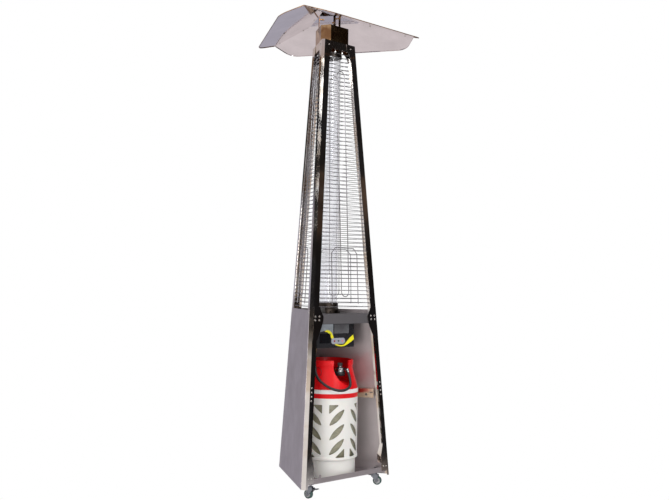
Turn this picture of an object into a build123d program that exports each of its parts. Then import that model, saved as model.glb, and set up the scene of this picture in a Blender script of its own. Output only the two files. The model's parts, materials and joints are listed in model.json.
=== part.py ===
"""Three-sided patio heater: tapered sheet-steel frame, gas cylinder, flame tube and hood.

Millimetres, +Z up. The origin is on the floor, on the frame's axis. The open front faces -Y.
"""
import math
import os

from build123d import *

os.makedirs("parts", exist_ok=True)

# Directions, in degrees about the axis
FRONT, RIGHT, LEFT = -90, 30, 150
FACES = (FRONT, RIGHT, LEFT)
CORNER_FL, CORNER_FR, CORNER_B = 210, 330, 90
ROOT3 = math.sqrt(3)

# Tapered frame
SHEET = 1.5
Z_FOOT, Z_TOP = 52.0, 2212.0
FACE_FOOT, FACE_TOP = 175.3, 68.8
NOSE_FOOT, NOSE_TOP = 22.0, 15.5
Z_SPLICE = 838.0
Z_PANEL_TOP = 880.0
PANEL = 1.2

# Base and shelf
Z_FLOOR = 72.0
FLOOR_FACE, FLOOR_NOSE = 170.6, 30.0
FLOOR_LIP_FRONT, FLOOR_LIP_REAR = 95.0, 106.0
Z_SHELF = 861.0
SHELF_FACE, SHELF_NOSE = 133.6, 30.0
SHELF_SKIRT = 48.0

# Flame tube and top
TUBE_R, TUBE_WALL, TUBE_LENGTH = 51.0, 2.5, 1257.0
Z_TUBE = 900.0
RING_FACE, RING_NOSE, RING_HEIGHT = 67.1, 24.0, 38.0
DUCT_FACE, DUCT_NOSE = 65.0, 52.0
Z_DUCT_LOW, Z_DUCT_HIGH = 2196.0, 2293.0

# Hood
Z_FOLD = 2336.0
FOLD_FACE, LIP_FACE, LIP_DROP = 76.0, 323.0, 86.0
HOOD_CORNER = 440.0
HOOD_ROUND = 80.0
WING = 1.2

# Guards
GUARD_LOW, GUARD_HIGH, GUARD_PITCH = 915.0, 2155.0, 20.0
WIRE_R, LOOP_R = 1.5, 2.0

# Control box
BOX_X = (-150.0, 104.0)
BOX_Y = (-90.0, -14.0)
BOX_Z = (695.0, 859.5)
BOX_WALL = 1.2
BADGE_X, BADGE_Z = -7.5, 727.0
BUTTON_PITCH, BUTTON_R, BUTTON_HOLE_R = 27.0, 4.2, 4.5

# Gas cylinder
BOTTLE = Vector(0, -18, 0)
BOTTLE_R = 147.0
Z_BAND_LOW, Z_BAND_HIGH = 454.0, 497.0
Z_COLLAR_RIM = 634.0
REGULATOR_TURN, REGULATOR_REACH, Z_REGULATOR = 272.0, 80.0, 578.0
HOSE_R = 6.5

# Casters
CASTER_REACH, CASTER_REACH_REAR, CASTER_TURN = 266.0, 205.0, 3.0
WHEEL_R, WHEEL_W, AXLE_R, TRAIL = 21.5, 16.0, 3.5, 12.0
FIT = 0.05


def outward(angle):
    """Unit vector out of a face or corner."""
    return Vector(math.cos(math.radians(angle)), math.sin(math.radians(angle)), 0)


def sideways(angle):
    """Unit vector along a face, anticlockwise seen from above."""
    return Vector(-math.sin(math.radians(angle)), math.cos(math.radians(angle)), 0)


def taper(low, high, z):
    return low + (high - low) * (z - Z_FOOT) / (Z_TOP - Z_FOOT)


def face_distance(z):
    """Distance from the axis to a face of the tapered frame."""
    return taper(FACE_FOOT, FACE_TOP, z)


def nose_width(z):
    return taper(NOSE_FOOT, NOSE_TOP, z)


def vertex_s(z):
    """Half width of a face, from its middle to the fold of the nose."""
    return ROOT3 * face_distance(z) - nose_width(z)


FACE_LEAN = math.atan2(FACE_FOOT - FACE_TOP, Z_TOP - Z_FOOT)


def face_point(angle, s, z, out=0.0):
    """Point on a tapered face: s along it, z up, out beyond it square to the face."""
    distance = face_distance(z) + out / math.cos(FACE_LEAN)
    return outward(angle) * distance + sideways(angle) * s + Vector(0, 0, z)


def face_normal(angle):
    return outward(angle) * math.cos(FACE_LEAN) + Vector(0, 0, math.sin(FACE_LEAN))


def sheet(points, thickness, direction):
    """Flat sheet from its outline, thickened in one direction."""
    return extrude(make_face(Polyline(*points, close=True)), amount=thickness, dir=direction)


def face_plate(angle, outline, thickness, out=0.0):
    """Flat plate on a tapered face, thickened inwards from its outer side."""
    points = [face_point(angle, s, z, out) for s, z in outline]
    return sheet(points, thickness, -face_normal(angle))


def tri_outline(face, nose, z):
    """Triangle with cut corners: face distance from the axis, nose width."""
    points = []
    for corner in (CORNER_FL, CORNER_FR, CORNER_B):
        middle = outward(corner) * (2 * face - nose * ROOT3 / 2)
        for side in (-1, 1):
            points.append(middle + sideways(corner) * (side * nose / 2) + Vector(0, 0, z))
    return points


def tri_prism(face, nose, low, high):
    return sheet(tri_outline(face, nose, low), high - low, Vector(0, 0, 1))


def tri_wall(face, nose, low, high, thickness):
    inner_nose = nose - 2 * thickness * math.tan(math.radians(30))
    return tri_prism(face, nose, low, high) - tri_prism(face - thickness, inner_nose, low, high)


def rod(start, end, radius):
    axis = end - start
    return Solid.make_cylinder(radius, axis.length, Plane(origin=start, z_dir=axis))


def bent_rod(points, radius):
    """Rod through points, with round corners."""
    pieces = [rod(a, b, radius) for a, b in zip(points, points[1:])]
    pieces += [Pos(*p) * Sphere(radius) for p in points[1:-1]]
    return Part() + pieces


def disc(radius, low, high, x=0.0, y=0.0):
    return Pos(x, y, (low + high) / 2) * Cylinder(radius, high - low)


def block(x, y, z):
    """Box between two x, two y and two z values."""
    size = [b - a for a, b in (x, y, z)]
    middle = [(a + b) / 2 for a, b in (x, y, z)]
    return Pos(*middle) * Box(*size)


def lathe(profile, x=0.0, y=0.0):
    """Solid of revolution from radius, height pairs."""
    outline = make_face(Polyline(*[(r, 0, z) for r, z in profile], close=True))
    return Pos(x, y, 0) * revolve(outline, Axis.Z)


def screw_head(point, normal, radius=4.5, height=2.6):
    """Domed head with a hexagon socket, standing on a surface."""
    head = Pos(0, 0, height / 2) * Cylinder(radius, height)
    head = fillet(head.edges().group_by(Axis.Z)[-1], height * 0.45)
    head -= Pos(0, 0, height) * extrude(RegularPolygon(radius * 0.42, 6), amount=-height * 0.6)
    return Plane(origin=point, z_dir=normal) * head


def turned(shape, angle):
    return Rot(0, 0, angle) * shape


def save(name, shape):
    if isinstance(shape, (list, tuple)):
        shape = Compound([s for item in shape for s in item.solids()])
    export_step(shape, f"parts/{name}.step")


# ---------------------------------------------------------------- posts

LOWER_FLANGE, UPPER_FLANGE = 28.0, 36.0
LOWER_EDGE = [(52, 12), (76, 14), (77, 48), (150, 46), (205, LOWER_FLANGE), (Z_SPLICE, LOWER_FLANGE)]
UPPER_EDGE = [(Z_SPLICE + 0.3, UPPER_FLANGE), (2095, UPPER_FLANGE), (2130, 38), (2155, 44),
              (2172, 54), (2174, 58), (Z_TOP, 58)]


def post(corner, low, high, inner_edge):
    """Folded post: a flat nose with a flange on each of the two faces beside it."""
    pieces = []
    for side in (-1, 1):
        outline = [(-side * vertex_s(low), low)]
        outline += [(-side * (vertex_s(z) - width), z) for z, width in inner_edge]
        outline += [(-side * vertex_s(high), high)]
        pieces.append(face_plate(corner + 60 * side, outline, SHEET))
    nose = []
    for z, sides in ((low, (-1, 1)), (high, (1, -1))):
        reach = 2 * face_distance(z) - nose_width(z) * ROOT3 / 2
        for side in sides:
            across = sideways(corner) * (side * nose_width(z) / 2)
            nose.append(outward(corner) * reach + across + Vector(0, 0, z))
    normal = (nose[1] - nose[0]).cross(nose[2] - nose[1]).normalized()
    if normal.dot(outward(corner)) > 0:
        normal = -normal
    pieces.append(sheet(nose, SHEET, normal))
    return Part() + pieces


def lower_post(corner):
    """Lower post with a lip turned inwards along each flange."""
    lips = []
    for side in (-1, 1):
        low, high = 210.0, 790.0
        edge = [vertex_s(z) - LOWER_FLANGE for z in (low, high)]
        outline = [(-side * edge[0], low), (-side * (edge[0] + SHEET), low),
                   (-side * (edge[1] + SHEET), high), (-side * edge[1], high)]
        lips.append(face_plate(corner + 60 * side, outline, 9.0))
    return post(corner, Z_FOOT, Z_SPLICE, LOWER_EDGE) + lips


lower = lower_post(CORNER_FL)
upper = post(CORNER_FL, Z_SPLICE + 0.3, Z_TOP, UPPER_EDGE)
for corner_name, turn in (("front_left", 0), ("front_right", 120), ("rear", 240)):
    save(f"lower_post_{corner_name}", turned(lower, turn))
    save(f"upper_post_{corner_name}", turned(upper, turn))

SPLICE_EDGE = [(739, 30), (772, 45), (804, 58), (830, 65), (850, 65), (867, 54), (895, 38)]
splices = []
for side in (-1, 1):
    outline = [(side * (vertex_s(z) - 1.5), z) for z in (895, 739)]
    outline += [(side * (vertex_s(z) - width), z) for z, width in SPLICE_EDGE]
    splices.append(face_plate(FRONT, outline, 2.0, out=2.0))
save("splice_plates", splices)

# ---------------------------------------------------------------- panels, base and shelf

for panel_name, angle in (("left", LEFT), ("right", RIGHT)):
    corners = [(vertex_s(Z_FOOT), Z_FOOT), (vertex_s(Z_PANEL_TOP), Z_PANEL_TOP)]
    outline = corners + [(-s, z) for s, z in reversed(corners)]
    save(f"side_panel_{panel_name}", face_plate(angle, outline, PANEL, out=PANEL))

BRACE_S, BRACE_Z, BRACE_DEPTH = (-216.0, -96.0), (436.0, 482.0), 32.0
wall = face_distance(BRACE_Z[1]) - 2.2
reach = sorted((wall - BRACE_DEPTH, wall))
brace_leg = block((reach[0], reach[0] + 2), BRACE_S, BRACE_Z)
brace_top = block(reach, BRACE_S, (BRACE_Z[1] - 2, BRACE_Z[1]))
brace = brace_leg + brace_top
brace -= Pos(reach[0], -178, 452) * Rot(0, 90, 0) * Cylinder(6, 10)
brace -= Pos(reach[0], -204, 464) * Rot(0, 90, 0) * extrude(SlotOverall(18, 5, 90), amount=5, both=True)
save("wall_brace", turned(brace, RIGHT))

caster_reaches = {CORNER_FL: CASTER_REACH, CORNER_FR: CASTER_REACH, CORNER_B: CASTER_REACH_REAR}
caster_spots = [outward(c + CASTER_TURN) * reach for c, reach in caster_reaches.items()]
floor = tri_prism(FLOOR_FACE, FLOOR_NOSE, Z_FLOOR - SHEET, Z_FLOOR)
floor += tri_wall(FLOOR_FACE, FLOOR_NOSE, Z_FLOOR - SHEET, FLOOR_LIP_REAR, SHEET)
floor -= block((-400, 400), (-400, -FLOOR_FACE + 30), (FLOOR_LIP_FRONT, 200))
floor += block((-193, -181), (-FLOOR_FACE, -FLOOR_FACE + SHEET), (Z_FLOOR, 110))
for spot in caster_spots:
    floor -= disc(5.1, 60, 80, spot.X, spot.Y)
for angle in range(0, 360, 60):
    hole = outward(angle) * 60
    floor -= disc(9, 60, 80, hole.X, hole.Y)
save("base_tray", floor)

shelf = tri_prism(SHELF_FACE, SHELF_NOSE, Z_SHELF - SHEET, Z_SHELF)
shelf += tri_wall(SHELF_FACE, SHELF_NOSE, Z_SHELF - SHELF_SKIRT, Z_SHELF, SHEET)
shelf -= disc(26, 850, 870)
for angle in range(30, 390, 60):
    vent = outward(angle) * 92
    shelf -= disc(7, 850, 870, vent.X, vent.Y)
save("burner_shelf", shelf)

# ---------------------------------------------------------------- wire guards

GUARD_BACK = 4.0


def guard(angle):
    """Welded grille: level wires on two edge rods, with two stiffening loops in front."""
    pieces = []
    z = GUARD_LOW
    while z <= GUARD_HIGH:
        half = vertex_s(z) - 13
        pieces.append(rod(face_point(angle, -half, z, -GUARD_BACK),
                          face_point(angle, half, z, -GUARD_BACK), WIRE_R))
        z += GUARD_PITCH
    for side in (-1, 1):
        ends = [face_point(angle, side * (vertex_s(z) - 15), z, -GUARD_BACK - 3.2)
                for z in (GUARD_LOW - 8, GUARD_HIGH + 8)]
        pieces.append(rod(*ends, LOOP_R))
    front = -GUARD_BACK + 3.2
    wide = [(-89, GUARD_LOW - 6), (-86.5, 1157), (-62, 1183), (62, 1183), (86.5, 1157),
            (89, GUARD_LOW - 6)]
    pieces.append(bent_rod([face_point(angle, s, z, front) for s, z in wide], LOOP_R))
    for side, start, end in ((-1, 970.0, 2040.0), (1, 2040.0, 970.0)):
        low, high = (face_point(angle, side * 25, z, front) for z in (start, end))
        pieces.append(rod(low, high, LOOP_R))
        section = Plane(origin=high, z_dir=high - low) * Circle(LOOP_R)
        turn_axis = Axis(face_point(angle, 0, end, front), -face_normal(angle))
        pieces.append(revolve(section, turn_axis, 180))
    return Part() + pieces


front_guard = guard(FRONT)
for guard_name, turn in (("front", 0), ("right", 120), ("left", 240)):
    save(f"guard_{guard_name}", turned(front_guard, turn))

# ---------------------------------------------------------------- burner and flame tube

save("flame_tube", disc(TUBE_R, Z_TUBE, Z_TUBE + TUBE_LENGTH)
     - disc(TUBE_R - TUBE_WALL, Z_TUBE - 1, Z_TUBE + TUBE_LENGTH + 1))

seat = lathe([(40, 876), (62, 876), (62, 882), (56, 886), (56, 914), (51.3, 914), (51.3, 900),
              (40, 900)])
save("tube_seat", seat)

burner_base = disc(66, Z_SHELF, 876) - disc(28, 860, 877)
for angle in range(0, 360, 30):
    burner_base -= turned(block((50, 70), (-7, 7), (864, 873)), angle)
save("burner_base", burner_base)

burner = disc(34, 876, 912) + disc(24, 862, 876)
burner -= disc(31, 880, 909)
for angle in range(0, 360, 20):
    for z in (888, 900):
        burner -= turned(Pos(32, 0, z) * Rot(0, 90, 0) * Cylinder(2.5, 8), angle)
for angle in range(0, 360, 45):
    burner -= turned(disc(3, 905, 915, 20), angle)
burner -= disc(4, 905, 915)
save("burner", burner)

pilot = block((72, 96), (-15, 15), (Z_SHELF, 863)) + block((78, 92), (-11, 11), (863, 889))
pilot += Pos(73, 5, 882) * Rot(0, 90, 0) * Cylinder(3, 18)
pilot += Pos(74, -6, 879) * Rot(0, 90, 0) * Cylinder(2, 20)
pilot -= Pos(85, 0, 884) * Rot(90, 0, 0) * Cylinder(3, 40)
save("pilot_burner", turned(pilot, 214))

# ---------------------------------------------------------------- top ring, cap and duct

save("top_ring", tri_wall(RING_FACE, RING_NOSE, Z_TOP - RING_HEIGHT, Z_TOP, SHEET))

z_tube_top = Z_TUBE + TUBE_LENGTH
cap = lathe([(40, z_tube_top + 3), (40, z_tube_top + 5), (57, z_tube_top + 5),
             (57, z_tube_top - 15), (55, z_tube_top - 15), (55, z_tube_top + 3)])
ring_inner = RING_FACE - SHEET
arm = block((50, ring_inner), (-9, 9), (z_tube_top + 5, z_tube_top + 7))
arm += block((ring_inner - 2, ring_inner), (-9, 9), (z_tube_top + 5, Z_DUCT_LOW - 2))
for angle in FACES:
    cap += turned(arm, angle)
save("tube_cap", cap)

duct = tri_wall(DUCT_FACE, DUCT_NOSE, Z_DUCT_LOW, Z_DUCT_HIGH, SHEET)
duct_nose = 2 * DUCT_FACE - DUCT_NOSE * ROOT3 / 2
for corner in (CORNER_FL, CORNER_FR, CORNER_B):
    duct -= turned(block((duct_nose - 0.8, duct_nose + 8), (-20, 20), (2224, 2272)), corner)
save("exhaust_duct", duct)

# ---------------------------------------------------------------- hood

HOOD_SLOPE = math.atan2(LIP_DROP, LIP_FACE - FOLD_FACE)
Z_FOLD_TOP = Z_FOLD + WING / math.cos(HOOD_SLOPE)


def wing_plane(angle, depth=0.0):
    """Plane of a wing's top side, x along the wing and y up its slope."""
    normal = outward(angle) * math.sin(HOOD_SLOPE) + Vector(0, 0, math.cos(HOOD_SLOPE))
    origin = outward(angle) * FOLD_FACE + Vector(0, 0, Z_FOLD_TOP) - normal * depth
    return Plane(origin=origin, x_dir=sideways(angle), z_dir=normal)


def on_wing(plan_s, plan_r):
    """Wing plane coordinates of a point given in plan."""
    return plan_s, -(plan_r - FOLD_FACE) / math.cos(HOOD_SLOPE)


def wing(angle):
    """Sloping wing with a level inner flange and a joining flange along one hip."""
    hip_r, hip_s = HOOD_CORNER / 2, HOOD_CORNER * ROOT3 / 2
    lip_s = (HOOD_CORNER - LIP_FACE / 2) / (ROOT3 / 2)
    fold_s = FOLD_FACE * ROOT3
    plan = [(-fold_s, FOLD_FACE), (fold_s, FOLD_FACE), (hip_s, hip_r), (lip_s, LIP_FACE),
            (-lip_s, LIP_FACE), (-hip_s, hip_r)]
    outline = make_face(Polyline(*[on_wing(*p) for p in plan], close=True))
    lip_corners = outline.vertices().sort_by(Axis.Y)[:2]
    outline = fillet(lip_corners, HOOD_ROUND)
    body = wing_plane(angle) * extrude(outline, amount=-WING)
    far = [outward(angle + turn) * 700 for turn in (-60, 60)]
    body &= sheet([Vector(0, 0, 2200), *[p + Vector(0, 0, 2200) for p in far]], 200, Vector(0, 0, 1))
    level = [(-110.4, 64), (110.4, 64), (131.0, 76.6), (-131.0, 76.6)]
    points = [outward(angle) * r + sideways(angle) * s + Vector(0, 0, Z_FOLD) for s, r in level]
    body += sheet(points, Z_FOLD_TOP - Z_FOLD, Vector(0, 0, 1))
    strip = []
    for along, across in ((172, -1.5), (424, -1.5), (424, 13), (172, 13)):
        strip.append(on_wing(-along * ROOT3 / 2 + across / 2, along / 2 + across * ROOT3 / 2))
    flange = extrude(make_face(Polyline(*strip, close=True)), amount=-WING)
    return body + wing_plane(angle + 120, depth=WING) * flange


front_wing = wing(FRONT)
for wing_name, turn in (("front", 0), ("right", 120), ("left", 240)):
    save(f"hood_wing_{wing_name}", turned(front_wing, turn))

save("hood_plate", tri_prism(FOLD_FACE, 10, Z_FOLD_TOP, Z_FOLD_TOP + SHEET))

STRAP, STRAP_W, TAB_R = 2.5, 12.0, 36.0


def under_wing(r):
    """Height of the wing's underside."""
    return Z_FOLD - math.tan(HOOD_SLOPE) * (r - FOLD_FACE)


def strap():
    """Flat bar: straight up inside the duct, then inwards under the hood's middle plate."""
    inner = DUCT_FACE - SHEET - STRAP
    outer = DUCT_FACE - SHEET
    profile = [(inner, 2228), (outer, 2228), (outer, Z_FOLD_TOP), (TAB_R, Z_FOLD_TOP),
               (TAB_R, Z_FOLD_TOP - STRAP), (inner, Z_FOLD_TOP - STRAP)]
    outline = make_face(Polyline(*[(r, 0, z) for r, z in profile], close=True))
    return extrude(outline, amount=STRAP_W / 2, both=True)


save("hood_straps", [turned(strap(), angle) for angle in FACES])

hood_heads = []
for angle in FACES:
    plane = wing_plane(angle)
    for spot, normal in ((outward(angle) * 48 + Vector(0, 0, Z_FOLD_TOP - STRAP), Vector(0, 0, -1)),
                         (outward(angle) * 87 + Vector(0, 0, under_wing(87)), -plane.z_dir)):
        hood_heads.append(screw_head(spot, normal, 3.6, 2.0))
    for along in (205, 395):
        s, y = on_wing(-along * ROOT3 / 2 + 6 / 2, along / 2 + 6 * ROOT3 / 2)
        spot = plane.from_local_coords(Vector(s, y, -2 * WING))
        hood_heads.append(screw_head(spot, -plane.z_dir, 4.2, 2.4))
    for s in (-62, 62):
        spot = outward(angle) * 69 + sideways(angle) * s + Vector(0, 0, Z_FOLD_TOP + SHEET)
        hood_heads.append(screw_head(spot, Vector(0, 0, 1), 4.0, 1.5))
save("hood_screws", hood_heads)

# ---------------------------------------------------------------- frame screws

heads = []
for side in (-1, 1):
    for z in (832, 850):
        for inset in (14, 40):
            spot = face_point(FRONT, side * (vertex_s(z) - inset), z, 2.0)
            heads.append(screw_head(spot, face_normal(FRONT), 4.6, 2.6))
    for z in (456, 476, 496, 516):
        spot = face_point(FRONT, side * (vertex_s(z) - 12), z)
        heads.append(screw_head(spot, face_normal(FRONT), 4.0, 2.4))
    for inset in (16, 34):
        spot = face_point(FRONT, side * (vertex_s(98) - inset), 98)
        heads.append(screw_head(spot, face_normal(FRONT), 4.0, 2.2))
for angle in FACES:
    for s in (-86, 86):
        spot = face_point(angle, s * 0.86, 2192)
        heads.append(screw_head(spot, face_normal(angle), 4.2, 2.4))
for angle in (LEFT, RIGHT):
    for z in (78, 470, 868):
        for side in (-1, 1):
            spot = face_point(angle, side * (vertex_s(z) - 15), z, PANEL)
            heads.append(screw_head(spot, face_normal(angle), 4.0, 2.4))
save("frame_screws", heads)

# ---------------------------------------------------------------- control box

housing = block(BOX_X, BOX_Y, BOX_Z)
housing -= block((BOX_X[0] + BOX_WALL, BOX_X[1] - BOX_WALL), (BOX_Y[0] + BOX_WALL, BOX_Y[1] - BOX_WALL),
                 (BOX_Z[0] + BOX_WALL, BOX_Z[1] + 1))
panel = block((BOX_X[0] + 1, BOX_X[1] - 1), (BOX_Y[0] - 2, BOX_Y[0]), (BOX_Z[0] + 1, 811))
WINDOW_X, WINDOW_Z = (-131.0, -60.0), (718.0, 764.0)
panel -= block(WINDOW_X, (BOX_Y[0] - 3, BOX_Y[0] + 1), WINDOW_Z)
window = block(WINDOW_X, (BOX_Y[0] - 3.2, BOX_Y[0]), WINDOW_Z)
window -= block((WINDOW_X[0] + 4, WINDOW_X[1] - 4), (BOX_Y[0] - 4, BOX_Y[0] - 2),
                (WINDOW_Z[0] + 4, WINDOW_Z[1] - 4))
badge_plane = Plane(origin=(BADGE_X, BOX_Y[0] - 2, BADGE_Z), x_dir=(1, 0, 0), z_dir=(0, -1, 0))
badge = badge_plane * extrude(SlotOverall(93, 30), amount=2.5)
badge = fillet(badge.edges().group_by(Axis.Y)[0], 1.2)
button_spots = [BADGE_X + BUTTON_PITCH * step for step in (-1, 0, 1)]
for x in button_spots:
    hole = Pos(x, BOX_Y[0], BADGE_Z) * Rot(90, 0, 0) * Cylinder(BUTTON_HOLE_R, 12)
    housing -= hole
    panel -= hole
    badge -= hole
fitting_spot = (-128.0, -55.0)
housing -= disc(5.2, BOX_Z[0] - 1, BOX_Z[0] + 3, *fitting_spot)
housing -= Pos(0, BOX_Y[1], 840) * Rot(90, 0, 0) * Cylinder(4.5, 6)
save("control_box", housing)
save("control_panel", panel)
save("receiver_window", window)
save("button_badge", badge)
for button_name, x in zip(("red", "dark", "pink"), button_spots):
    button = Pos(x, BOX_Y[0] - 2.2, BADGE_Z) * Rot(90, 0, 0) * Cylinder(BUTTON_R, 9)
    save(f"button_{button_name}", fillet(button.edges().group_by(Axis.Y)[0], 0.8))

fx, fy = fitting_spot
fitting = disc(8.5, 672, 686, fx, fy) + disc(5, 686, 706, fx, fy)
fitting += extrude(Pos(fx, fy, 687) * RegularPolygon(9.5, 6), amount=8)
save("gas_inlet", fitting)

feed = rod(Vector(0, -40, 815), Vector(0, -40, 840), 4) + rod(Vector(0, -40, 840), Vector(0, 0, 840), 4)
feed += Pos(0, -40, 840) * Sphere(4)
feed += Pos(0, 0, 840) * Sphere(4)
feed += rod(Vector(0, 0, 840), Vector(0, 0, 862), 4)
save("burner_feed", feed)

# ---------------------------------------------------------------- gas cylinder

bx, by = BOTTLE.X, BOTTLE.Y
LEAF_COLUMNS, LEAF_START = 8, 244.9
LEAF_HEIGHTS = (223.0, 293.0, 363.0)


def leaf():
    """Pointed oval at 45 degrees, cut through the casing wall."""
    half = 56.0
    bulge = 15.0
    upper_arc = ThreePointArc((-half, 0), (0, bulge), (half, 0))
    lower_arc = ThreePointArc((half, 0), (0, -bulge), (-half, 0))
    shape = fillet(make_face(Curve() + [upper_arc, lower_arc]).vertices(), 4)
    return Rot(0, 0, 45) * shape


def corner_cut(x, z):
    """Right-angled corner window; x and z are the square corner's place in a column."""
    step_x = -1 if x > 0 else 1
    step_z = -1 if z > 293 else 1
    points = [(x, z - 293), (x + 50 * step_x, z - 293), (x, z - 293 + 45 * step_z)]
    shape = make_face(Polyline(*points, close=True))
    return fillet(shape.vertices(), 3)


casing = lathe([(134, 72), (138, 72), (138, 156), (146, 158), (149, 161), (149, 170), (BOTTLE_R, 173),
                (BOTTLE_R, Z_BAND_LOW), (143, Z_BAND_LOW), (143, 168), (134, 160)], bx, by)
for column in range(LEAF_COLUMNS):
    mirror_x = 1 if column % 2 == 0 else -1
    direction = outward(LEAF_START + 45 * column)
    plane = Plane(origin=BOTTLE + direction * 120 + Vector(0, 0, 293),
                  x_dir=sideways(LEAF_START + 45 * column) * mirror_x,
                  z_dir=direction * mirror_x)
    shapes = [Pos(0, z - 293) * leaf() for z in LEAF_HEIGHTS]
    shapes += [corner_cut(-40, 424), corner_cut(40, 171)]
    for shape in shapes:
        casing -= plane * extrude(shape, amount=40 * mirror_x)
save("bottle_casing", casing)

outer = [Edge.make_three_point_arc((0, 0, 88), (88, 0, 112), (133, 0, 172)),
         Edge.make_line((133, 0, 172), (140, 0, 195)),
         Edge.make_line((140, 0, 195), (140, 0, 432)),
         Edge.make_three_point_arc((140, 0, 432), (112, 0, 500), (30, 0, 535)),
         Edge.make_line((30, 0, 535), (0, 0, 535)),
         Edge.make_line((0, 0, 535), (0, 0, 88))]
inner = [Edge.make_three_point_arc((0, 0, 94), (84, 0, 117), (126, 0, 173)),
         Edge.make_line((126, 0, 173), (134, 0, 197)),
         Edge.make_line((134, 0, 197), (134, 0, 430)),
         Edge.make_three_point_arc((134, 0, 430), (107, 0, 495), (30, 0, 528)),
         Edge.make_line((30, 0, 528), (0, 0, 528)),
         Edge.make_line((0, 0, 528), (0, 0, 94))]
vessel = revolve(Face(Wire(outer)), Axis.Z) - revolve(Face(Wire(inner)), Axis.Z)
save("bottle_vessel", Pos(bx, by, 0) * vessel)

collar = lathe([(143, Z_BAND_LOW), (BOTTLE_R, Z_BAND_LOW), (BOTTLE_R, Z_BAND_HIGH), (133, 546),
                (124, 580), (120, 598), (120, 608), (122.5, 610), (122.5, 631), (120, Z_COLLAR_RIM),
                (115, Z_COLLAR_RIM), (115, 598), (119, 578), (128, 543), (142, 500), (143, 496)],
               bx, by)


def collar_plane(angle):
    return Plane(origin=BOTTLE + outward(angle) * 60, x_dir=sideways(angle), z_dir=outward(angle))


# Notch for the regulator, open at the rim, with a curved edge on its left
NOTCH = [(-40, 650), (-40, 588), (-33, 564), (-20, 543), (-3, 526), (13, 517), (31, 514), (44, 524),
         (46, 545), (45.5, 650)]
notch = make_face(Polyline(*NOTCH, close=True))
notch = fillet(notch.vertices().filter_by(lambda v: v.Y < 640), 4)
collar -= collar_plane(258) * extrude(notch, amount=100)
hand_hole = fillet(Rectangle(114, 96).vertices().sort_by(Axis.Y)[:2], 34)
hand_hole = fillet(hand_hole.vertices().sort_by(Axis.Y)[-2:], 8)
collar -= collar_plane(88) * Pos(0, 558) * extrude(hand_hole, amount=100)
save("bottle_collar", collar)
save("bottle_band", lathe([(BOTTLE_R, 476), (149, 477), (149, 495), (BOTTLE_R, 496)], bx, by))

outlet = outward(REGULATOR_TURN)
valve = disc(18, 535, 560, bx, by) + disc(13, 560, 600, bx, by) + disc(16, 600, 610, bx, by)
valve += rod(BOTTLE + Vector(0, 0, Z_REGULATOR), BOTTLE + outlet * 55 + Vector(0, 0, Z_REGULATOR), 9)
save("bottle_valve", valve)

regulator_at = BOTTLE + outlet * REGULATOR_REACH
rx, ry = regulator_at.X, regulator_at.Y
regulator = lathe([(0, 556), (17, 556), (21.5, 559), (22, 565), (24.5, 566), (24.5, 575), (23.5, 576),
                   (23.3, 584), (22, 590), (18.5, 595.5), (13, 599.5), (9, 601), (9, 604), (3, 604),
                   (3, 616), (0, 616)], rx, ry)
regulator += rod(BOTTLE + outlet * 55.2 + Vector(0, 0, Z_REGULATOR),
                 regulator_at + Vector(0, 0, Z_REGULATOR), 11)

# Hose route: ferrule at the regulator, droop in front of the collar, up to the gas inlet
HOSE_ROUTE = [(10.0, -148.0, 576.0), (12.0, -168.0, 531.0), (-20.0, -186.0, 502.0),
              (-76.0, -182.0, 493.0), (-118.0, -146.0, 509.0), (-146.0, -90.0, 552.0),
              (-128.0, -55.0, 612.0), (-128.0, -55.0, 672.0)]
route = [Vector(*p) for p in HOSE_ROUTE]
first_run = (route[1] - route[0]).normalized()
elbow = Vector(7, -126, 591)
regulator += rod(regulator_at + Vector(0, 0, 585), elbow, 6)
regulator += Pos(*elbow) * Sphere(6)
regulator += rod(elbow, route[0] - first_run * 14, 6)
regulator += rod(route[0] - first_run * 14, route[0], 8)
regulator += Pos(*(route[0] - first_run * 14)) * Sphere(8)
save("regulator", regulator)

knob = disc(12, 604.3, 620, rx, ry)
knob = fillet(knob.edges().group_by(Axis.Z)[-1], 2)
knob -= disc(3 + FIT, 604, 616.3, rx, ry)
for angle in range(0, 360, 30):
    knob -= Pos(rx, ry, 0) * turned(disc(1.6, 600, 630, 12.6), angle)
save("regulator_knob", knob)


def bend_radii(points):
    """Largest even bend radius at each inner point of a route."""
    radii = []
    for before, here, after in zip(points, points[1:], points[2:]):
        turn = math.radians((here - before).get_angle(after - here))
        shorter = min((here - before).length, (after - here).length)
        radii.append(0.45 * shorter / math.tan(turn / 2))
    return radii


hose_radii = bend_radii(route)
hose_path = FilletPolyline(*route, radius=hose_radii)
hose = sweep(Plane(origin=route[0], z_dir=first_run) * Circle(HOSE_R), path=hose_path)
print("hose length", round(hose_path.length, 1), "radii", [round(r, 1) for r in hose_radii])
print("hose volume", round(hose.volume), "section x length",
      round(math.pi * HOSE_R ** 2 * hose_path.length))
save("gas_hose", hose)

# ---------------------------------------------------------------- casters

CROWN_LOW, CROWN_HIGH = 50.0, 52.5
PEDAL_X, PEDAL_Z, PEDAL_PIN_R = -13.0, 43.5, 2.0


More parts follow.
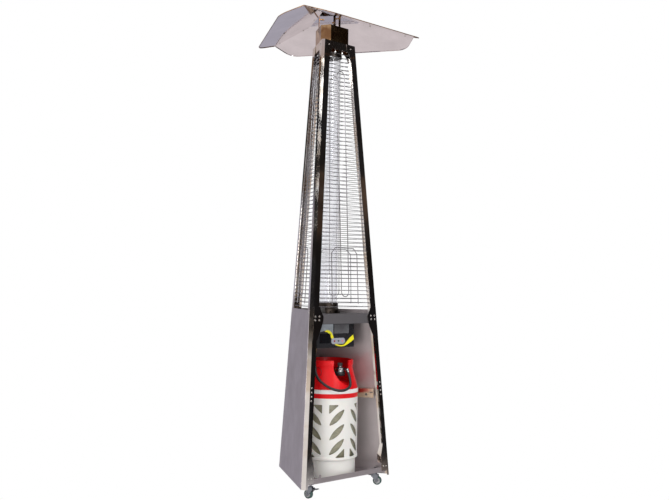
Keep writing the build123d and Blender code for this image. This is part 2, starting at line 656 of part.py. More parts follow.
def fork():
    """Crown and two cheeks, with the axle and the pedal's pin fixed in them; trail is +X."""
    crown = block((-17, 17), (-11.5, 11.5), (CROWN_LOW, CROWN_HIGH)) - disc(3 + FIT, 49, 53)
    profile = [(-17, CROWN_HIGH), (-17, 40), (-12, 38.5), (4, 17), (12, 14), (19, 18), (19, 26),
               (17, CROWN_HIGH)]
    cheek = extrude(make_face(Polyline(*[(x, 0, z) for x, z in profile], close=True)), amount=1)
    thick = abs(cheek.bounding_box().size.Y)
    cheek = Pos(0, -cheek.bounding_box().min.Y, 0) * cheek
    cheeks = []
    for step in (0, 1):
        cheeks += [Pos(0, 9.5 + step * thick, 0) * cheek, Pos(0, -11.5 + step * thick, 0) * cheek]
    axle = Pos(TRAIL, 0, WHEEL_R) * Rot(90, 0, 0) * Cylinder(AXLE_R, 26)
    nuts = [Pos(TRAIL, y, WHEEL_R) * Rot(90, 0, 0) * Cylinder(5.5, 2) for y in (-12.5, 12.5)]
    pin = Pos(PEDAL_X, 0, PEDAL_Z) * Rot(90, 0, 0) * Cylinder(PEDAL_PIN_R, 25)
    return Part() + [crown, axle, pin] + cheeks + nuts


def pedal():
    """Brake pedal on its pin, the lever reaching out ahead of the fork."""
    tongue = Pos(PEDAL_X, 0, PEDAL_Z) * Rot(90, 0, 0) * Cylinder(5.2, 17.6)
    lever = [(PEDAL_X - 2, PEDAL_Z + 1.5), (PEDAL_X - 27, PEDAL_Z + 5), (PEDAL_X - 28, PEDAL_Z + 8),
             (PEDAL_X - 25, PEDAL_Z + 8), (PEDAL_X - 1, PEDAL_Z + 5)]
    arm = extrude(make_face(Polyline(*[(x, 0, z) for x, z in lever], close=True)), amount=8.8, both=True)
    pad = block((PEDAL_X - 29, PEDAL_X - 19), (-11, 11), (PEDAL_Z + 4.6, PEDAL_Z + 7.6))
    return tongue + arm + pad - Pos(PEDAL_X, 0, PEDAL_Z) * Rot(90, 0, 0) * Cylinder(PEDAL_PIN_R + FIT, 30)


def stem():
    """Fixed kingpin, race and threaded stem with its nut."""
    nut = extrude(Pos(0, 0, Z_FLOOR) * RegularPolygon(9.8, 6), amount=7)
    return Part() + [disc(5, 46.2, 49.7), disc(3, 46.2, 58), disc(12, 52.8, 58), disc(5, 58, 86),
                     disc(16, 66.5, Z_FLOOR - SHEET), nut]


hub = disc(15.4, -7, 7) - disc(AXLE_R + FIT, -8, 8)
hub -= disc(12.5, 4, 8) - disc(6.5, 3, 9)
hub -= disc(12.5, -8, -4) - disc(6.5, -9, -3)
tyre = fillet(disc(WHEEL_R, -WHEEL_W / 2, WHEEL_W / 2).edges(), 2.2) - disc(15.4, -9, 9)
upright = Pos(TRAIL, 0, WHEEL_R) * Rot(90, 0, 0)
stems = []
for caster_name, spot, trail in zip(("front_left", "front_right", "rear"), caster_spots, (100, 300, 280)):
    place = Pos(spot.X, spot.Y, 0) * Rot(0, 0, trail)
    stems.append(place * stem())
    save(f"caster_fork_{caster_name}", place * fork())
    save(f"caster_pedal_{caster_name}", place * pedal())
    save(f"wheel_hub_{caster_name}", place * upright * hub)
    save(f"wheel_tyre_{caster_name}", place * upright * tyre)
    print(caster_name, "swivel", spot, "axle", (place * Pos(TRAIL, 0, WHEEL_R)).position,
          "pedal pin", (place * Pos(PEDAL_X, 0, PEDAL_Z)).position)
save("caster_stems", stems)
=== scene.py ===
"""Looks, light and camera for the three-sided patio heater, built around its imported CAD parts.

Metres, +Z up. The origin is on the floor, on the frame's axis; the open front faces -Y.
"""
import json
import math

import bmesh
import bpy
from mathutils import Matrix, Vector


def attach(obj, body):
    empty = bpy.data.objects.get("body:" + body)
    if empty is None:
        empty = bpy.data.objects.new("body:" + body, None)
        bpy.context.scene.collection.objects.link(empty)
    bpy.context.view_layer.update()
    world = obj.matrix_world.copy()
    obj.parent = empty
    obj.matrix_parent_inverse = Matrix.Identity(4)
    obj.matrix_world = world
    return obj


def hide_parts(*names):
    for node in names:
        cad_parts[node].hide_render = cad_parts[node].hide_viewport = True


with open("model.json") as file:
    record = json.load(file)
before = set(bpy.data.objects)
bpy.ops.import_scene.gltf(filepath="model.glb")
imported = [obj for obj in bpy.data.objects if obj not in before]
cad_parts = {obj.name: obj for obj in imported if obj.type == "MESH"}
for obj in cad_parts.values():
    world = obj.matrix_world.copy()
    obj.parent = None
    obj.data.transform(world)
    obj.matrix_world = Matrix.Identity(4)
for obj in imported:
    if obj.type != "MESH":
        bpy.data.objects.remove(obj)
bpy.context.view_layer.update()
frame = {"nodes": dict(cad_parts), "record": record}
NODES = frame["nodes"]
SLOT_OF = {entry["node"]: entry["material_slot"] for entry in frame["record"]["subparts"]}
BODY = "frame"
SCENE = bpy.context.scene
MM = 0.001
FACES = (("front", -90), ("right", 30), ("left", 150))


def outward(angle):
    """Unit vector out of a face, from its angle in degrees."""
    return Vector((math.cos(math.radians(angle)), math.sin(math.radians(angle)), 0))


def sideways(angle):
    """Unit vector along a face, anticlockwise seen from above."""
    out = outward(angle)
    return Vector((-out.y, out.x, 0))


# ---------------------------------------------------------------- node helpers

class Nodes:
    """Short way to wire a shader tree."""

    def __init__(self, tree):
        self.tree = tree

    def put(self, value, socket):
        if isinstance(value, bpy.types.NodeSocket):
            self.tree.links.new(value, socket)
        else:
            socket.default_value = value

    def add(self, kind, inputs=None, **settings):
        node = self.tree.nodes.new(kind)
        for name, value in settings.items():
            setattr(node, name, value)
        for key, value in (inputs or {}).items():
            self.put(value, node.inputs[key])
        return node

    def math(self, operation, a, b=0.0, c=0.0):
        return self.add("ShaderNodeMath", {0: a, 1: b, 2: c}, operation=operation).outputs[0]

    def position(self):
        return self.add("ShaderNodeTexCoord").outputs["Object"]

    def scaled(self, vector, scale):
        return self.add("ShaderNodeMapping", {"Vector": vector, "Scale": scale}).outputs[0]

    def noise(self, vector, scale, detail=4.0, rough=0.55, distortion=0.0):
        node = self.add("ShaderNodeTexNoise", {"Vector": vector, "Scale": scale, "Detail": detail,
                                               "Roughness": rough, "Distortion": distortion})
        return node.outputs["Fac"]

    def span(self, value, from_low, from_high, low, high, smooth=False):
        kind = "SMOOTHSTEP" if smooth else "LINEAR"
        node = self.add("ShaderNodeMapRange", {"Value": value, "From Min": from_low,
                                               "From Max": from_high, "To Min": low,
                                               "To Max": high}, interpolation_type=kind)
        return node.outputs[0]

    def blend(self, factor, a, b):
        node = self.add("ShaderNodeMix", data_type="RGBA", blend_type="MIX")
        colours = [s for s in node.inputs if s.type == "RGBA"]
        self.put(factor, node.inputs[0])
        self.put(a if isinstance(a, bpy.types.NodeSocket) else (*a, 1.0), colours[0])
        self.put(b if isinstance(b, bpy.types.NodeSocket) else (*b, 1.0), colours[1])
        return [s for s in node.outputs if s.type == "RGBA"][0]

    def bump(self, height, strength, distance):
        node = self.add("ShaderNodeBump", {"Height": height, "Strength": strength,
                                           "Distance": distance})
        return node.outputs[0]


def new_material(name):
    material = bpy.data.materials.new(name)
    material.use_nodes = True
    nodes = Nodes(material.node_tree)
    return material, nodes, material.node_tree.nodes["Principled BSDF"]


def steel(name, colour, rough, brush=(3, 3, 400), brush_depth=0.0, smudge=0.06, tint=None,
          tint_share=0.0, wave=0.0, metallic=1.0, tint_scale=4.0):
    """Sheet steel: brushing along one direction, smudges in the polish, optional heat tint."""
    material, n, shader = new_material(name)
    where = n.position()
    smudges = n.noise(where, 9.0, 5.0, 0.6)
    grain = n.noise(n.scaled(where, brush), 6.0, 3.0, 0.6)
    dark = tuple(c * 0.82 for c in colour)
    body = n.blend(n.span(smudges, 0.3, 0.7, 0.0, 0.75), colour, dark)
    body = n.blend(n.span(grain, 0.35, 0.65, 0.0, 0.35 if brush_depth else 0.0), body, dark)
    if tint:
        patches = n.noise(where, tint_scale, 3.0, 0.5, 0.6)
        body = n.blend(n.span(patches, 0.42, 0.62, 0.0, tint_share, True), body, tint)
    n.put(body, shader.inputs["Base Color"])
    shader.inputs["Metallic"].default_value = metallic
    n.put(n.span(smudges, 0.3, 0.75, max(0.02, rough - smudge), rough + smudge),
          shader.inputs["Roughness"])
    height = n.noise(where, 14.0, 1.0)
    bump = n.bump(height, wave, 0.004) if wave else None
    if brush_depth:
        node = n.add("ShaderNodeBump", {"Height": grain, "Strength": brush_depth,
                                        "Distance": 0.0004})
        if bump:
            n.put(bump, node.inputs["Normal"])
        bump = node.outputs[0]
    if bump:
        n.put(bump, shader.inputs["Normal"])
    return material


def plastic(name, colour, rough, grain=0.12, grain_scale=900.0, mottling=0.12, dust=0.0,
            coat=0.0, subsurface=0.0, dark=0.8):
    """Moulded plastic or paint: fine texture, slight mottling and a little dust."""
    material, n, shader = new_material(name)
    where = n.position()
    cloud = n.noise(where, 18.0, 4.0, 0.6)
    body = n.blend(n.span(cloud, 0.35, 0.7, 0.0, mottling * 4), colour,
                   tuple(c * dark for c in colour))
    if dust:
        specks = n.noise(where, 260.0, 4.0, 0.7)
        body = n.blend(n.span(specks, 0.56, 0.72, 0.0, dust), body, (0.62, 0.6, 0.57))
    n.put(body, shader.inputs["Base Color"])
    n.put(n.span(cloud, 0.3, 0.7, rough * 0.8, min(1.0, rough * 1.25)), shader.inputs["Roughness"])
    n.put(n.bump(n.noise(where, grain_scale, 2.0), grain, 0.0006), shader.inputs["Normal"])
    if coat:
        shader.inputs["Coat Weight"].default_value = coat
    if subsurface:
        shader.inputs["Subsurface Weight"].default_value = subsurface
        shader.inputs["Subsurface Scale"].default_value = 0.004
    return material


def quartz():
    """Clear tube with a faint milky haze."""
    material, n, shader = new_material("quartz_clear")
    where = n.position()
    haze = n.noise(n.scaled(where, (6, 6, 0.8)), 4.0, 4.0, 0.6)
    n.put(n.blend(n.span(haze, 0.3, 0.7, 0.0, 1.0), (0.99, 0.99, 1.0), (0.93, 0.93, 0.96)),
          shader.inputs["Base Color"])
    shader.inputs["Transmission Weight"].default_value = 0.94
    shader.inputs["IOR"].default_value = 1.46
    n.put(n.span(haze, 0.3, 0.7, 0.01, 0.05), shader.inputs["Roughness"])
    return material


def vessel():
    """Wound composite shell seen through the casing's windows: olive, with a crossed winding."""
    material, n, shader = new_material("vessel_composite")
    where = n.position()
    wound = n.noise(n.scaled(where, (30, 30, 240)), 2.0, 4.0, 0.6)
    cloud = n.noise(where, 22.0, 4.0, 0.6)
    body = n.blend(n.span(cloud, 0.35, 0.68, 0.0, 1.0), (0.20, 0.19, 0.12), (0.42, 0.40, 0.29))
    body = n.blend(n.span(wound, 0.4, 0.6, 0.0, 0.5), body, (0.09, 0.085, 0.06))
    n.put(body, shader.inputs["Base Color"])
    shader.inputs["Coat Weight"].default_value = 0.4
    n.put(n.span(wound, 0.3, 0.7, 0.2, 0.4), shader.inputs["Roughness"])
    n.put(n.bump(wound, 0.25, 0.001), shader.inputs["Normal"])
    return material


MATERIALS = {
    "satin_steel": steel("satin_stainless", (0.53, 0.48, 0.49), 0.36, (120, 120, 1.5), 0.25, 0.07,
                         metallic=0.82),
    "mirror_steel": steel("polished_stainless", (0.78, 0.75, 0.73), 0.08, (3, 3, 3), 0.0, 0.05,
                          tint=(0.52, 0.38, 0.25), tint_share=0.55, wave=0.05, tint_scale=5.0),
    "grey_sheet": steel("dark_sheet", (0.20, 0.19, 0.20), 0.42, (1.5, 120, 120), 0.2, 0.08,
                        metallic=0.6),
    "wire": steel("bright_wire", (0.46, 0.45, 0.47), 0.2, (3, 3, 3), 0.0, 0.05),
    "quartz": quartz(),
    "dark_steel": steel("heat_dark_steel", (0.055, 0.05, 0.05), 0.38, (4, 4, 60), 0.2, 0.1,
                        tint=(0.09, 0.065, 0.045), tint_share=0.4),
    "burner_steel": steel("burner_steel", (0.42, 0.41, 0.40), 0.35, (4, 4, 60), 0.2, 0.1,
                          tint=(0.35, 0.24, 0.14), tint_share=0.6, tint_scale=12.0),
    "tinted_steel": steel("heat_gold_steel", (0.72, 0.50, 0.26), 0.14, (40, 40, 2), 0.1, 0.07,
                          tint=(0.28, 0.14, 0.06), tint_share=0.85, tint_scale=14.0),
    # Heat-tinted bars; the same dark brown finish also paints shade on the front and left hood hems.
    "tinted_bar": steel("heat_brown_bar_and_hem_shade", (0.40, 0.22, 0.09), 0.24, (40, 40, 3), 0.15, 0.08,
                        tint=(0.12, 0.06, 0.04), tint_share=0.8, tint_scale=20.0),
    "hood_steel": steel("hood_stainless", (0.80, 0.755, 0.765), 0.07, (2, 2, 2), 0.0, 0.03,
                        wave=0.02),
    "screw_steel": steel("screw_stainless", (0.72, 0.70, 0.68), 0.22, (60, 60, 60), 0.1, 0.06),
    "box_paint": plastic("box_black", (0.035, 0.035, 0.038), 0.42, 0.2, 500.0, 0.2, 0.12),
    "panel_label": plastic("panel_dark", (0.016, 0.016, 0.019), 0.3, 0.04, 400.0, 0.15, 0.04, 0.05),
    "black_gloss": plastic("window_black", (0.008, 0.008, 0.01), 0.07, 0.02, 300.0, 0.1, 0.02, 0.8),
    "silver_trim": plastic("badge_silver", (0.38, 0.39, 0.44), 0.28, 0.05, 600.0, 0.12, 0.0, 0.4),
    "brass": steel("satin_brass", (0.66, 0.48, 0.20), 0.3, (60, 60, 60), 0.15, 0.08,
                   tint=(0.34, 0.20, 0.08), tint_share=0.5, tint_scale=40.0),
    "pipe_alu": steel("plain_pipe", (0.68, 0.68, 0.69), 0.32, (60, 60, 60), 0.12, 0.06),
    "casing_white": plastic("casing_offwhite", (0.80, 0.785, 0.745), 0.48, 0.22, 700.0, 0.06, 0.06,
                            0.0, 0.06, 0.88),
    "vessel_olive": vessel(),
    "collar_red": plastic("collar_red", (0.80, 0.004, 0.008), 0.42, 0.14, 500.0, 0.1, 0.02, 0.08,
                          0.0, 0.72),
    "band_white": plastic("band_white", (0.86, 0.85, 0.83), 0.3, 0.08, 600.0, 0.05, 0.03, 0.2),
    "zinc": steel("cast_zinc", (0.46, 0.46, 0.47), 0.22, (80, 80, 80), 0.2, 0.08),
    "hose_rubber": plastic("hose_rubber", (0.018, 0.018, 0.02), 0.42, 0.3, 350.0, 0.3, 0.12, 0.0,
                           0.0, 0.6),
    "caster_zinc": steel("plated_caster", (0.26, 0.28, 0.32), 0.3, (60, 60, 60), 0.2, 0.1,
                         tint=(0.12, 0.12, 0.14), tint_share=0.5, tint_scale=60.0),
    "caster_black": plastic("pedal_dark", (0.045, 0.05, 0.06), 0.36, 0.2, 500.0, 0.3, 0.1, 0.2),
    "hub_grey": plastic("hub_grey", (0.62, 0.62, 0.63), 0.4, 0.15, 500.0, 0.1, 0.1),
    "tyre_green": plastic("tread_grey_green", (0.07, 0.13, 0.12), 0.6, 0.35, 400.0, 0.2, 0.22),
    "button_red": plastic("button_dark_red", (0.33, 0.008, 0.02), 0.2, 0.04, 500.0, 0.08, 0, 0.5),
    "button_dark": plastic("button_dark", (0.055, 0.065, 0.045), 0.2, 0.04, 500.0, 0.08, 0, 0.5),
    "button_pink": plastic("button_pink", (0.80, 0.25, 0.32), 0.2, 0.04, 500.0, 0.08, 0, 0.5, 0.3),
    "black_plastic": plastic("knob_black", (0.022, 0.022, 0.024), 0.34, 0.2, 500.0, 0.2, 0.1, 0.1),
}

for node_name, node_object in NODES.items():
    for material_slot in node_object.material_slots:
        material_slot.material = MATERIALS[SLOT_OF[node_name]]


collar_shader = MATERIALS["collar_red"].node_tree.nodes["Principled BSDF"]
collar_shader.inputs["Specular IOR Level"].default_value = 0.25
brace_finish = steel("brace_stainless", (0.66, 0.52, 0.40), 0.2, (60, 60, 3), 0.1, 0.08,
                     tint=(0.40, 0.26, 0.17), tint_share=0.6, tint_scale=14.0)
NODES["wall_brace"].material_slots[0].material = brace_finish


# ---------------------------------------------------------------- mesh helpers

def piece(name, data, slot, material=None):
    """A Blender piece that takes a record slot, rides on the frame and has the slot's finish."""
    thing = bpy.data.objects.new(name, data)
    SCENE.collection.objects.link(thing)
    data.materials.append(material or MATERIALS[slot])
    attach(thing, BODY)
    return thing


def mesh_of(bm, name):
    """Mesh from a bmesh, with its faces turned outwards."""
    mesh = bpy.data.meshes.new(name)
    bmesh.ops.recalc_face_normals(bm, faces=bm.faces)
    bm.to_mesh(mesh)
    bm.free()
    return mesh


# ---------------------------------------------------------------- gas hose

HOSE_POINTS = [(10.0, -148.0, 576.0), (12.0, -168.0, 531.0), (-20.0, -186.0, 502.0),
               (-76.0, -182.0, 493.0), (-118.0, -146.0, 509.0), (-146.0, -90.0, 552.0),
               (-128.0, -55.0, 612.0), (-128.0, -55.0, 672.0)]
HOSE_LENGTH, HOSE_DIAMETER = 0.406, 0.013

hose_curve = bpy.data.curves.new("gas_hose_line", "CURVE")
hose_curve.dimensions = "3D"
hose_spline = hose_curve.splines.new("NURBS")
hose_spline.points.add(len(HOSE_POINTS) - 1)
for point, place in zip(hose_spline.points, HOSE_POINTS):
    point.co = (*[v * MM for v in place], 1.0)
hose_spline.order_u = 3
hose_spline.use_endpoint_u = True
hose_spline.resolution_u = 24
hose_curve.bevel_depth = HOSE_DIAMETER / 2
hose_curve.bevel_resolution = 8
hose_curve.use_fill_caps = True
hose = piece("supply_hose", hose_curve, "hose_rubber")
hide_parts("gas_hose")


# ---------------------------------------------------------------- control panel print

PANEL_FRONT = -92.0


def panel_patch(name, outline, proud, material):
    """Thin raised area of the panel's print, from x, z corners in millimetres."""
    bm = bmesh.new()
    rings = []
    for y in (PANEL_FRONT + 0.05, PANEL_FRONT - proud):
        rings.append([bm.verts.new((x * MM, y * MM, z * MM)) for x, z in outline])
    bm.faces.new(rings[0])
    bm.faces.new(list(reversed(rings[1])))
    for i in range(len(outline)):
        j = (i + 1) % len(outline)
        bm.faces.new((rings[0][i], rings[1][i], rings[1][j], rings[0][j]))
    return piece(name, mesh_of(bm, name), "panel_label", material)


# Middle line and half width of the stripe: x, z, half width
STRIPE = [(-97, 776, 2.5), (-84, 777, 5), (-70, 773, 7), (-58, 763, 8), (-48, 748, 8),
          (-39, 731, 6.5), (-31, 717, 4.5), (-20, 709, 3.5), (-4, 705, 3), (14, 702.5, 3),
          (30, 703.5, 3.5), (44, 709, 5.5), (60, 719, 8.5), (78, 731, 11), (102, 744, 13)]


def stripe_edges():
    """Upper and lower edge of the plain stripe, from its middle line and half widths."""
    upper, lower = [], []
    for i, (x, z, half) in enumerate(STRIPE):
        before, after = STRIPE[max(0, i - 1)], STRIPE[min(len(STRIPE) - 1, i + 1)]
        run = Vector((after[0] - before[0], after[1] - before[1])).normalized()
        upper.append((min(x - run.y * half, 102.5), z + run.x * half))
        lower.append((min(x + run.y * half, 102.5), z - run.x * half))
    return upper, lower


stripe_upper, stripe_lower = stripe_edges()
stripe_paint = plastic("stripe_yellow", (0.95, 0.86, 0.02), 0.3, 0.04, 500.0, 0.1, 0.02, 0.3)
silver_paint = plastic("panel_silver", (0.42, 0.46, 0.50), 0.28, 0.04, 500.0, 0.3, 0.02, 0.3, 0,
                       0.55)
grey_paint = plastic("panel_grey", (0.15, 0.15, 0.16), 0.3, 0.04, 500.0, 0.3, 0.03, 0.2, 0, 0.6)
panel_patch("panel_stripe", stripe_upper + stripe_lower[::-1], 0.45, stripe_paint)
panel_patch("panel_silver_area", [(-147, 809.5), (-147, 770)] + stripe_upper[:5] + [(-42, 809.5)],
            0.3, silver_paint)
panel_patch("panel_grey_area", [(-34, 808), (-34, 764), (66, 764), (66, 808)], 0.3, grey_paint)


# ---------------------------------------------------------------- gas cylinder details

BOTTLE_Y = -18.0


def ring_mesh(name, profile, centre):
    """Closed profile of radius, height pairs in millimetres, turned about a vertical axis."""
    segments = 96
    bm = bmesh.new()
    columns = []
    for k in range(segments):
        a = 2 * math.pi * k / segments
        columns.append([bm.verts.new(((centre[0] + r * math.cos(a)) * MM,
                                      (centre[1] + r * math.sin(a)) * MM, z * MM))
                        for r, z in profile])
    for k in range(segments):
        here, after = columns[k], columns[(k + 1) % segments]
        for i in range(len(profile)):
            j = (i + 1) % len(profile)
            bm.faces.new((here[i], after[i], after[j], here[j]))
    mesh = mesh_of(bm, name)
    mesh.shade_smooth()
    return mesh


SHOULDER = [(19, 541), (40, 540), (70, 535), (96, 525), (118, 511), (134, 497), (141, 488),
            (139, 486), (132, 493), (116, 507), (95, 521), (69, 531), (40, 536.5), (19, 537)]
piece("collar_shoulder", ring_mesh("collar_shoulder", SHOULDER, (0, BOTTLE_Y)), "collar_red")
GASKET = [(22.2, 557.5), (23.4, 558.5), (25.2, 564.5), (25.8, 567), (25.8, 574.5), (25.2, 577),
          (23.6, 578.5), (23.2, 577.5), (24.6, 575.2), (24.6, 566), (22.1, 565.4)]
REGULATOR_AT = (2.79, -97.95)
piece("regulator_gasket", ring_mesh("regulator_gasket", GASKET, REGULATOR_AT), "black_plastic")


def collar_radius(z):
    """Outer radius of the flared collar at a height, level above its last step."""
    steps = [(497, 147), (546, 133), (580, 124), (598, 120), (608, 120)]
    for (z0, r0), (z1, r1) in zip(steps, steps[1:]):
        if z <= z1:
            return r0 + (r1 - r0) * (z - z0) / (z1 - z0)
    return steps[-1][1]


def curve_piece(name, points, radius, slot, cyclic=False, material=None):
    """Round bead through points in millimetres, kept as a mesh."""
    line = bpy.data.curves.new(name, "CURVE")
    line.dimensions = "3D"
    spline = line.splines.new("POLY")
    spline.points.add(len(points) - 1)
    for target, place in zip(spline.points, points):
        target.co = (*[v * MM for v in place], 1)
    spline.use_cyclic_u = cyclic
    line.bevel_depth = radius * MM
    line.bevel_resolution = 3
    line.use_fill_caps = not cyclic
    holder = bpy.data.objects.new(name + "_line", line)
    SCENE.collection.objects.link(holder)
    bpy.context.view_layer.update()
    evaluated = holder.evaluated_get(bpy.context.evaluated_depsgraph_get())
    mesh = bpy.data.meshes.new_from_object(evaluated)
    bpy.data.objects.remove(holder)
    mesh.materials.clear()
    mesh.shade_smooth()
    return piece(name, mesh, slot, material)


# Plain oval raised on the left of the collar
OVAL_POINTS, OVAL_Z, OVAL_HIGH, OVAL_WIDE, OVAL_TURN = 48, 577, 22, 17, 203
COLLAR_R = 124
oval = []
for k in range(OVAL_POINTS):
    a = 2 * math.pi * k / OVAL_POINTS
    z = OVAL_Z + OVAL_HIGH * math.sin(a)
    turned = math.radians(OVAL_TURN) + OVAL_WIDE * math.cos(a) / COLLAR_R
    r = collar_radius(z) + 0.2
    oval.append((r * math.cos(turned), BOTTLE_Y + r * math.sin(turned), z))
# The raised oval is coloured darker red than the collar: painted shade along its moulded ridge.
oval_painted_shade = plastic("collar_oval_painted_shade", (0.30, 0.004, 0.012), 0.4, 0.1, 500.0, 0.1)
curve_piece("collar_oval", oval, 1.3, "collar_red", cyclic=True, material=oval_painted_shade)


# ---------------------------------------------------------------- lowest wire of each guard

FACE_FOOT, FACE_TOP, Z_FOOT, Z_TOP = 175.3, 68.8, 52, 2212
LOW_WIRE_Z, WIRE_BEHIND, WIRE_R, WIRE_SHORT = 895, 4.0, 1.5, 32.5
face_reach = FACE_FOOT - (FACE_FOOT - FACE_TOP) * (LOW_WIRE_Z - Z_FOOT) / (Z_TOP - Z_FOOT)
wire_half = math.sqrt(3) * face_reach - WIRE_SHORT
for face, angle in FACES:
    middle = outward(angle) * (face_reach - WIRE_BEHIND) + Vector((0, 0, LOW_WIRE_Z))
    low_wire = [middle + sideways(angle) * s for s in (-wire_half, wire_half)]
    curve_piece(f"guard_low_wire_{face}", low_wire, WIRE_R, "wire")


# ---------------------------------------------------------------- hood hems

FOLD_Z, FOLD_R, LIP_R, LIP_DROP, CORNER_R, CORNER_ROUND = 2336.0, 76.0, 323.0, 86.0, 440.0, 80.0
HEM_DEPTH, HEM_THICK = 2.6, 1.0
slope = math.atan2(LIP_DROP, LIP_R - FOLD_R)


def hem_plan():
    """Edge of a wing in its own plane: along it, and down its slope."""
    hip = (CORNER_R * math.sqrt(3) / 2, (CORNER_R / 2 - FOLD_R) / math.cos(slope))
    lip = ((CORNER_R - LIP_R / 2) / (math.sqrt(3) / 2), (LIP_R - FOLD_R) / math.cos(slope))
    a, b, c = Vector(hip), Vector(lip), Vector((-lip[0], lip[1]))
    to_a, to_c = (a - b).normalized(), (c - b).normalized()
    half = to_a.angle(to_c) / 2
    centre = b + (to_a + to_c).normalized() * (CORNER_ROUND / math.sin(half))
    setback = CORNER_ROUND / math.tan(half)
    start, end = b + to_a * setback, b + to_c * setback
    arc = []
    for k in range(13):
        way = (start - centre).lerp(end - centre, k / 12).normalized()
        arc.append(centre + way * CORNER_ROUND)
    right = [a + (b - a) * 0.02] + arc
    return right + [Vector((-p.x, p.y)) for p in reversed(right)]


def hem(name, angle, finish):
    """Narrow turned-down lip round a wing's outer edge."""
    out, along = outward(angle), sideways(angle)
    normal = out * math.sin(slope) + Vector((0, 0, math.cos(slope)))
    down = out * math.cos(slope) - Vector((0, 0, math.sin(slope)))
    bm = bmesh.new()
    rows = []
    plan = hem_plan()
    for i, p in enumerate(plan):
        run = (plan[min(i + 1, len(plan) - 1)] - plan[max(i - 1, 0)]).normalized()
        inward = Vector((run.y, -run.x))
        if inward.dot(Vector((0, 150)) - p) < 0:
            inward = -inward
        ring = []
        for depth, inset in ((0.6, -0.2), (-HEM_DEPTH, -0.2), (-HEM_DEPTH, HEM_THICK),
                             (-0.9, HEM_THICK)):
            q = p + inward * inset
            spot = out * FOLD_R + Vector((0, 0, FOLD_Z)) + along * q.x + down * q.y
            ring.append(bm.verts.new((spot + normal * depth) * MM))
        rows.append(ring)
    for here, after in zip(rows, rows[1:]):
        for i in range(4):
            bm.faces.new((here[i], after[i], after[(i + 1) % 4], here[(i + 1) % 4]))
    bm.faces.new(rows[0])
    bm.faces.new(list(reversed(rows[-1])))
    return piece(name, mesh_of(bm, name), "hood_steel", MATERIALS[finish])


# The front and left hems take the dark brown bar finish as painted shade along the hood's lip; the
# right hem keeps the plain hood steel.
hem("hood_hem_front", -90, "tinted_bar")
hem("hood_hem_left", 150, "tinted_bar")
hem("hood_hem_right", 30, "hood_steel")


# ---------------------------------------------------------------- studs at the top of the tube

def hex_stud(bm, place, radius, low, high):
    """Threaded stud with a hexagon nut and washer, added to a mesh, in millimetres."""
    parts = ((16, radius, low, high), (6, radius * 1.9, low + 9, low + 14),
             (24, radius * 2.4, low + 7.6, low + 9))
    for sides, r, z0, z1 in parts:
        made = bmesh.ops.create_cone(bm, cap_ends=True, segments=sides, radius1=r * MM,
                                     radius2=r * MM, depth=(z1 - z0) * MM)
        bmesh.ops.translate(bm, verts=made["verts"],
                            vec=(place[0] * MM, place[1] * MM, (z0 + z1) / 2 * MM))


STUD_REACH, STUD_SIDE, STUD_R, STUD_Z = 59, 24, 2.4, (2152, 2192)
studs = bmesh.new()
for face, angle in FACES:
    for s in (-STUD_SIDE, STUD_SIDE):
        hex_stud(studs, outward(angle) * STUD_REACH + sideways(angle) * s, STUD_R, *STUD_Z)
piece("cap_studs", mesh_of(studs, "cap_studs"), "screw_steel")


# ---------------------------------------------------------------- camera

CAMERA_AT = Vector((-3.1577, -3.3475, 0.9979))
CAMERA_TURN, CAMERA_PITCH, CAMERA_ROLL = (math.radians(v) for v in (43.33, 2.2147, 0.8506))
level_right = Vector((math.cos(CAMERA_TURN), -math.sin(CAMERA_TURN), 0))
ahead = Vector((math.sin(CAMERA_TURN) * math.cos(CAMERA_PITCH),
                math.cos(CAMERA_TURN) * math.cos(CAMERA_PITCH), math.sin(CAMERA_PITCH)))
level_up = level_right.cross(ahead)
camera_right = level_right * math.cos(CAMERA_ROLL) + level_up * math.sin(CAMERA_ROLL)
camera_up = level_up * math.cos(CAMERA_ROLL) - level_right * math.sin(CAMERA_ROLL)
camera_data = bpy.data.cameras.new("camera")
camera_data.sensor_width = 36
camera_data.lens = 49.47
camera_data.shift_x = 0.0102
camera_data.clip_end = 60
camera = bpy.data.objects.new("camera", camera_data)
SCENE.collection.objects.link(camera)
turn = Matrix((camera_right, camera_up, -ahead)).transposed().to_4x4()
camera.matrix_world = Matrix.Translation(CAMERA_AT) @ turn
SCENE.camera = camera


# ---------------------------------------------------------------- studio

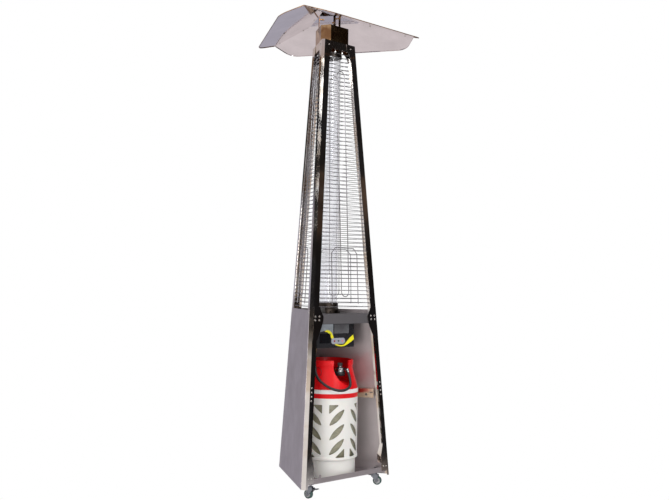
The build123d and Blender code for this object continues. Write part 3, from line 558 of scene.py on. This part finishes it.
def studio_world():
    """Dark studio above a bright floor, with a top light, for the polished steel to reflect."""
    world = bpy.data.worlds.new("studio")
    world.use_nodes = True
    SCENE.world = world
    n = Nodes(world.node_tree)
    room = world.node_tree.nodes["Background"]
    way = n.add("ShaderNodeTexCoord").outputs["Generated"]
    x, y, z = n.add("ShaderNodeSeparateXYZ", {0: way}).outputs
    turn_angle = n.math("ARCTAN2", y, x)

    def side(middle, inner, outer):
        gap = n.math("WRAP", n.math("SUBTRACT", turn_angle, math.radians(middle)), math.pi, -math.pi)
        return n.span(n.math("ABSOLUTE", gap), math.radians(inner), math.radians(outer), 1.0, 0.0,
                      True)

    near = n.blend(side(40, 70, 100), (0.90, 0.86, 0.83), (0.42, 0.405, 0.47))
    near = n.blend(n.math("MULTIPLY", side(-47, 24, 40), n.span(z, -0.16, -0.11, 0.0, 1.0, True)),
                   near, (0.012, 0.011, 0.012))
    deep = n.blend(side(-30, 40, 62), (0.74, 0.685, 0.69), (0.02, 0.018, 0.017))
    low = n.blend(n.span(z, -0.55, -0.30, 0.0, 1.0, True), deep, near)
    patches = n.noise(n.scaled(way, (1.2, 1.2, 5)), 2.3, 2.0, 0.5)
    glow = n.math("MULTIPLY", n.span(patches, 0.54, 0.66, 0.0, 0.55, True), side(193, 55, 30))
    walls = n.blend(glow, (0.016, 0.015, 0.016), (0.30, 0.18, 0.11))
    sky = n.blend(n.span(z, 0.08, 0.14, 0.0, 1.0, True), low, walls)
    sky = n.blend(n.span(z, 0.50, 0.64, 0.0, 1.0, True), sky, (1.1, 1.1, 1.12))
    n.put(sky, room.inputs["Color"])
    room.inputs["Strength"].default_value = 1.0
    plain = n.add("ShaderNodeBackground", {"Color": (1, 1, 1, 1), "Strength": 1.0})
    ray = n.add("ShaderNodeLightPath").outputs
    seen = n.math("MAXIMUM", ray["Is Camera Ray"], ray["Is Transmission Ray"])
    mixed = n.add("ShaderNodeMixShader", {0: seen, 1: room.outputs[0], 2: plain.outputs[0]})
    n.put(mixed.outputs[0], world.node_tree.nodes["World Output"].inputs["Surface"])


def area_light(name, at, towards, size, power):
    """White rectangular light aimed at a point."""
    data = bpy.data.lights.new(name, "AREA")
    data.shape = "RECTANGLE"
    data.size, data.size_y = size
    data.energy = power
    lamp = bpy.data.objects.new(name, data)
    SCENE.collection.objects.link(lamp)
    lamp.location = at
    lamp.rotation_mode = "QUATERNION"
    lamp.rotation_quaternion = (Vector(towards) - Vector(at)).to_track_quat("-Z", "Y")


studio_world()
area_light("key", (-3.4, -1.6, 3.4), (0, 0, 0.9), (1.6, 2.0), 75)
area_light("fill", (-0.6, -4.4, 3.0), (0, 0, 0.8), (2.0, 1.6), 46)
area_light("low_front", (-1.6, -3.4, 0.7), (0, 0, 0.5), (1.2, 0.8), 14)

floor_mesh = bmesh.new()
bmesh.ops.create_grid(floor_mesh, x_segments=8, y_segments=8, size=40.0)
floor = bpy.data.objects.new("studio_floor", mesh_of(floor_mesh, "studio_floor"))
SCENE.collection.objects.link(floor)
floor_material, floor_nodes, floor_shader = new_material("floor_pale")
floor_cloud = floor_nodes.noise(floor_nodes.position(), 1.2, 3.0)
floor_nodes.put(floor_nodes.blend(floor_cloud, (0.93, 0.93, 0.93), (0.9, 0.9, 0.905)),
                floor_shader.inputs["Base Color"])
floor_shader.inputs["Roughness"].default_value = 0.6
floor.data.materials.append(floor_material)
floor.visible_camera = False
floor.visible_glossy = False

SCENE.view_settings.view_transform = "Standard"

bpy.context.view_layer.update()
